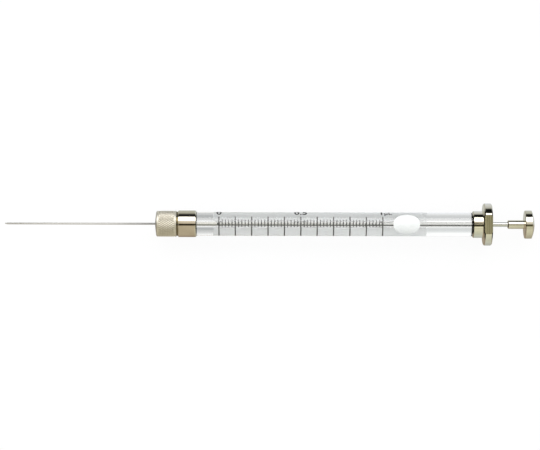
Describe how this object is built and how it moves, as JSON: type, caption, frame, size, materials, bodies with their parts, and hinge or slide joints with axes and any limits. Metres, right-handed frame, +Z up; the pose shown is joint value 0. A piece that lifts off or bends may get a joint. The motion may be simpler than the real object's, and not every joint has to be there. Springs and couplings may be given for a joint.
{
  "type": "microsyringe",
  "caption": "Plunger-in-needle microsyringe with a graduated glass barrel, a removable needle under a knurled nut, a finger flange and a push knob.",
  "frame": {"origin": "on the floor under the middle of the overall length, below the syringe's axis", "axes": "+X along the axis towards the push knob, the needle points to -X, +Z up through the scale; the axis is 6.28 mm above the origin"},
  "size_m": [0.1758, 0.014, 0.0126],
  "materials": {
    "steel": "polished",
    "ferrule_brass": "satin",
    "ptfe": "satin",
    "nickel_plate": "polished",
    "glass": "gloss",
    "black_enamel": "satin",
    "white_enamel": "satin"
  },
  "bodies": {
    "barrel": {"front_collar": "nickel_plate", "glass_barrel": "glass", "wire_guide": "steel", "needle_seal": "ptfe", "scale_marks": "black_enamel", "scale_backing": "white_enamel", "finger_flange": "nickel_plate", "rear_bush": "ptfe"},
    "needle_unit": {"needle": "steel", "needle_ferrule": "ferrule_brass"},
    "nut": {"knurled_nut": "nickel_plate"},
    "plunger": {"plunger_wire": "steel", "guide_rod": "steel", "knob": "nickel_plate"}
  },
  "joints": [
    {"name": "plunger_slide", "type": "slide", "parent": "barrel", "child": "plunger", "axis": [1, 0, 0], "range_m": [0, 0.0542]},
    {"name": "needle_draw", "type": "slide", "parent": "barrel", "child": "needle_unit", "axis": [-1, 0, 0], "range_m": [0, 0.003]},
    {"name": "nut_turn", "type": "hinge", "parent": "needle_unit", "child": "nut", "pos_m": [-0.03442, 0, 0.00628], "axis": [-1, 0, 0], "range_deg": [0, 1440]}
  ],
  "couplings": [
    {"joint": "nut_turn", "follows": "needle_draw", "rad_per_m": 8377.5}
  ]
}
